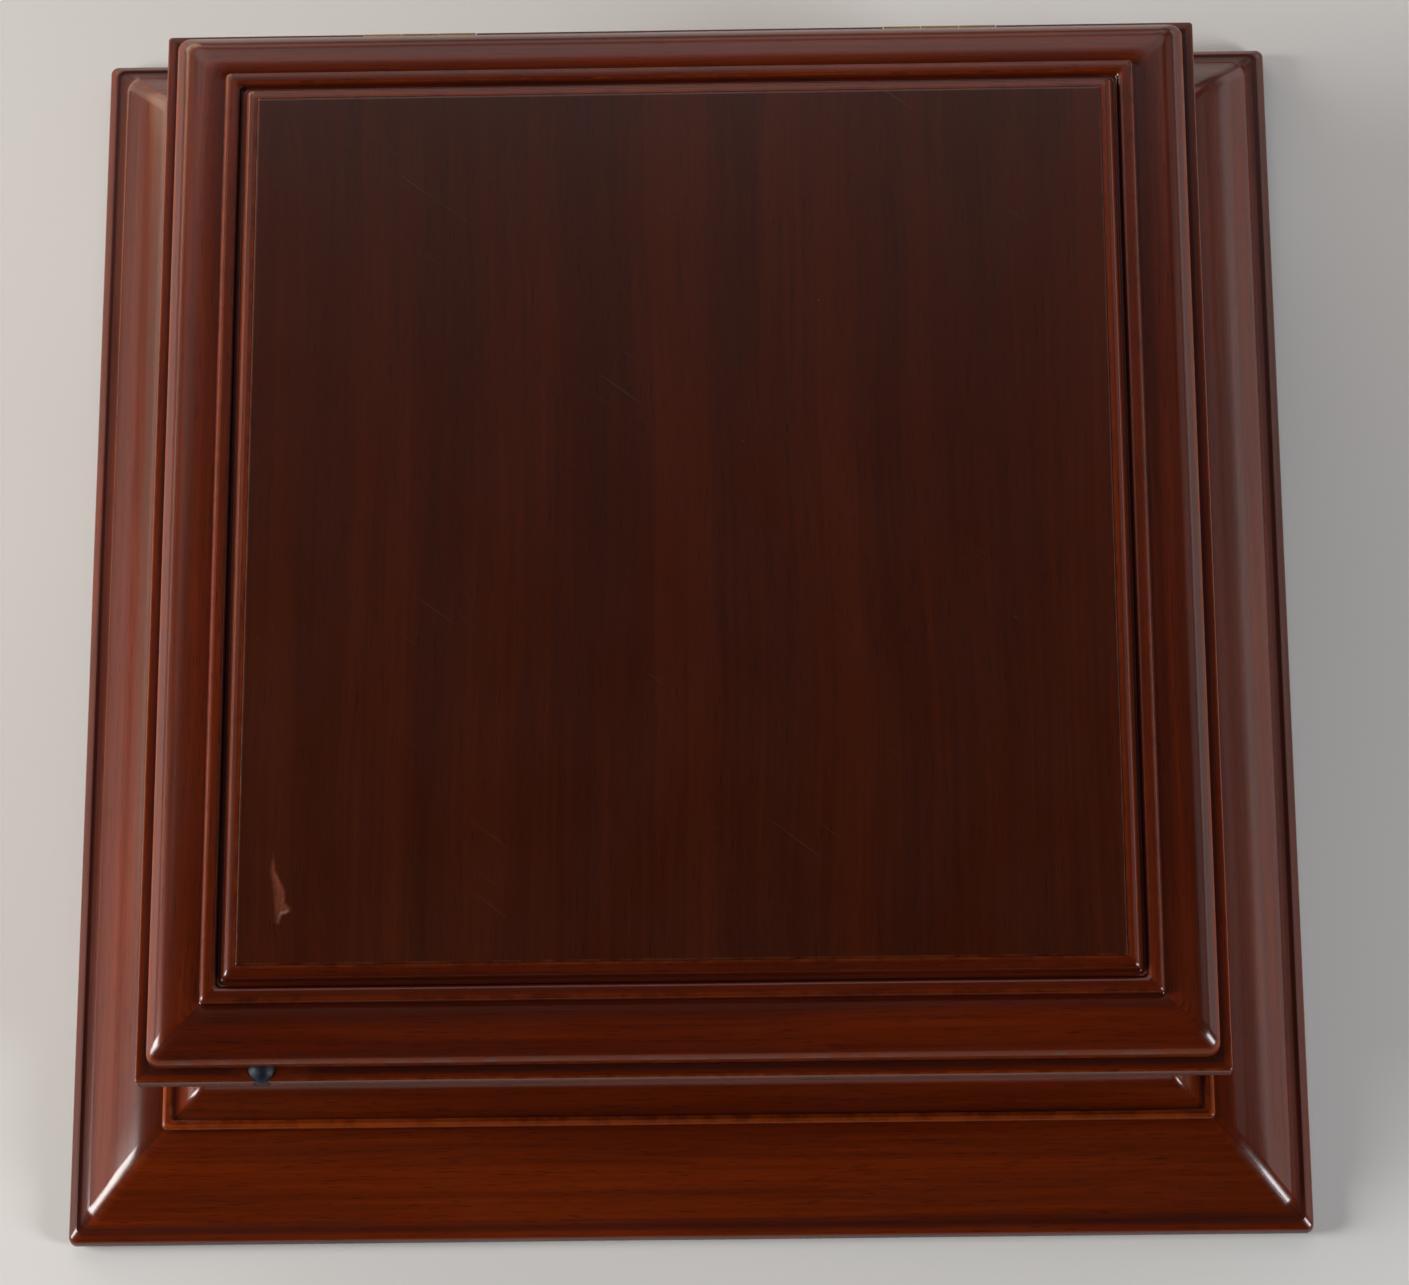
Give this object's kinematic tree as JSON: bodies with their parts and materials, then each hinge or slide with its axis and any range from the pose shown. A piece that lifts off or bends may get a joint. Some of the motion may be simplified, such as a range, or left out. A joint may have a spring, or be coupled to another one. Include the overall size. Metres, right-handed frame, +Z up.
{
  "type": "desk press blotter box",
  "caption": "Square wooden desk box with stepped mouldings and a hinged panelled lid that presses a blotting sheet onto a blotting pad.",
  "frame": {"origin": "on the surface it stands on, under the middle of the box", "axes": "+X to the right seen from the front, +Y to the hinged back, +Z up; the front faces -Y"},
  "size_m": [0.3236, 0.3426, 0.0818],
  "materials": {
    "mahogany_panel": "dark red-brown mahogany under gloss lacquer",
    "mahogany_moulding": "red-brown mahogany under gloss lacquer, worn lighter on the arrises",
    "secondary_wood": "bare planed pine",
    "steel_screws": "bright steel",
    "brass": "brushed, slightly tarnished",
    "rubber": "smooth blue-black rubber",
    "felt": "green wool felt",
    "blotting_paper": "soft unsized paper"
  },
  "bodies": {
    "case": {"rim_front": "mahogany_moulding", "rim_back": "mahogany_moulding", "rim_left": "mahogany_moulding", "rim_right": "mahogany_moulding", "rim_buffers": "rubber", "front_bumper": "rubber", "wall_front": "mahogany_moulding", "wall_back": "mahogany_moulding", "wall_left": "mahogany_moulding", "wall_right": "mahogany_moulding", "cove_front": "mahogany_moulding", "cove_back": "mahogany_moulding", "cove_left": "mahogany_moulding", "cove_right": "mahogany_moulding", "base_front": "mahogany_moulding", "base_back": "mahogany_moulding", "base_left": "mahogany_moulding", "base_right": "mahogany_moulding", "base_glue_blocks": "secondary_wood", "bottom_board": "secondary_wood", "bottom_screws": "steel_screws", "bed_bearers": "secondary_wood", "bed_board": "secondary_wood", "bed_felt": "felt", "blotting_pad": "blotting_paper", "case_hinge_leaves": "brass", "case_hinge_screws": "brass", "hinge_pins": "brass", "felt_feet": "felt"},
    "lid": {"lid_panel": "mahogany_panel", "lid_frame_front": "mahogany_moulding", "lid_frame_back": "mahogany_moulding", "lid_frame_left": "mahogany_moulding", "lid_frame_right": "mahogany_moulding", "lid_mitre_keys": "secondary_wood", "press_board": "secondary_wood", "press_board_screws": "steel_screws", "press_felt": "felt", "press_sheet": "blotting_paper", "sheet_clamp_left": "brass", "sheet_clamp_right": "brass", "sheet_clamp_screws": "brass", "lid_hinge_leaves": "brass", "lid_hinge_screws": "brass"}
  },
  "joints": [
    {"name": "lid_hinge", "type": "hinge", "parent": "case", "child": "lid", "pos_m": [0, 0.1455, 0.0676], "axis": [-1, 0, 0], "range_deg": [0, 95]}
  ]
}
